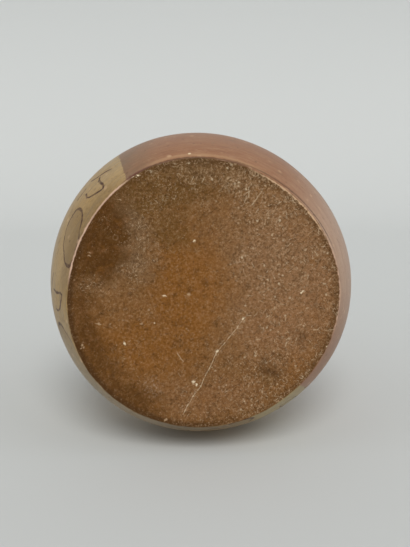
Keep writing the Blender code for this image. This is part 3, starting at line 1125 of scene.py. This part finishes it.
# The soft lights with shadows: the way to them, as shares of the ground's normal, the picture's right
# and the way to the camera, then their strength and their width in degrees
SOFT_LIGHTS = (
    ("key", (0.74, 0.03, 0.67), 1.75, 30),
    ("right_side", (0.6, 0.75, 0.25), 0.35, 50),
    ("left_side", (0.6, -0.75, 0.25), 0.2, 50),
)
LIGHT_COLOUR = (1.0, 0.985, 0.96)
FILL_TOWARD = Vector((0.0, 0.0, 0.87)) - UP * 0.5
FILL_STRENGTH = 1.2
FILL_WIDTH = math.radians(60)
FILL_COLOUR = (1.0, 0.99, 0.98)
SKY_COLOUR = (0.96, 0.985, 1.0, 1.0)
SKY_STRENGTH = 0.42


def turned_axes(x_axis, y_axis, z_axis, place):
    """The matrix of an object with these axes at a place."""
    matrix = Matrix((x_axis, y_axis, z_axis)).transposed().to_4x4()
    matrix.translation = place
    return matrix


def make_camera():
    data = bpy.data.cameras.new("camera")
    data.lens = LENS
    data.sensor_width = SENSOR
    camera = linked("camera", data)
    place = RIGHT * CAMERA_RIGHT + UP * CAMERA_UP + OUT * CAMERA_OUT
    turn = Matrix.Rotation(CAMERA_YAW, 4, "Y") @ Matrix.Rotation(CAMERA_PITCH, 4, "X")
    camera.matrix_world = turned_axes(RIGHT, UP, OUT, place) @ turn
    bpy.context.scene.camera = camera


def ground_material():
    """Pale paper. It shows from its upper side only, so that a view from below it still sees the vessel."""
    material = bpy.data.materials.new("pale_ground")
    material.use_nodes = True
    tree = material.node_tree
    shader = tree.nodes["Principled BSDF"]
    shader.inputs["Roughness"].default_value = GROUND_ROUGHNESS
    shader.inputs["Specular IOR Level"].default_value = GROUND_SPECULAR_LEVEL
    shader.inputs["Base Color"].default_value = GROUND_PALE
    output = tree.nodes["Material Output"]
    clear = new_node(tree, "BsdfTransparent").outputs[0]
    from_behind = new_node(tree, "NewGeometry").outputs["Backfacing"]
    mix = new_node(tree, "MixShader", from_behind, shader.outputs[0], clear)
    tree.links.new(mix.outputs[0], output.inputs["Surface"])
    return material


def make_ground(vessel):
    """A sheet that the vessel lies on and that sweeps up behind it into a wall."""
    reach = max((BODY_CENTRE - vertex.co).dot(GROUND_NORMAL) for vertex in vessel.data.vertices)
    contact = BODY_CENTRE - GROUND_NORMAL * (reach + GROUND_GAP)
    section = [(-GROUND_SIDE / 2, 0.0)]
    for i in range(SWEEP_STEPS + 1):
        angle = math.pi / 2 * i / SWEEP_STEPS
        section.append((SWEEP_START + SWEEP_RADIUS * math.sin(angle), SWEEP_RADIUS * (1.0 - math.cos(angle))))
    section.append((SWEEP_START + SWEEP_RADIUS, GROUND_SIDE / 2))
    points = [(side * GROUND_SIDE / 2, y, z) for y, z in section for side in (-1, 1)]
    faces = [(2 * i, 2 * i + 1, 2 * i + 3, 2 * i + 2) for i in range(len(section) - 1)]
    mesh = bpy.data.meshes.new("ground")
    mesh.from_pydata(points, [], faces)
    mesh.shade_smooth()
    ground = linked("ground", mesh)
    away = RIGHT.cross(GROUND_NORMAL) * -1.0
    ground.matrix_world = turned_axes(RIGHT, away, GROUND_NORMAL, contact)
    mesh.materials.append(ground_material())


def sun(name, toward, strength, angle, colour, fill=False):
    """A light from far away, in the direction of toward. A fill casts no shadow and gives no shine."""
    data = bpy.data.lights.new(name, "SUN")
    data.energy = strength
    data.angle = angle
    data.color = colour
    data.use_shadow = not fill
    light = linked(name, data)
    light.visible_glossy = not fill
    light.matrix_world = toward.to_track_quat("Z", "Y").to_matrix().to_4x4()


def make_light():
    toward_camera = (OUT - GROUND_NORMAL * OUT.dot(GROUND_NORMAL)).normalized()
    for name, (upward, rightward, forward), strength, width in SOFT_LIGHTS:
        toward = GROUND_NORMAL * upward + toward_camera * forward + RIGHT * rightward
        sun(name, toward, strength, math.radians(width), LIGHT_COLOUR)
    sun("back_fill", FILL_TOWARD, FILL_STRENGTH, FILL_WIDTH, FILL_COLOUR, fill=True)
    world = bpy.data.worlds.new("studio")
    bpy.context.scene.world = world
    world.use_nodes = True
    sky = world.node_tree.nodes["Background"]
    sky.inputs["Color"].default_value = SKY_COLOUR
    sky.inputs["Strength"].default_value = SKY_STRENGTH


make_camera()
vessel = make_vessel_mesh()
vessel.data.materials.append(vessel_material())
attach(vessel, "root")
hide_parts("vessel")
make_ground(vessel)
make_light()
bpy.context.scene.view_settings.view_transform = "Standard"
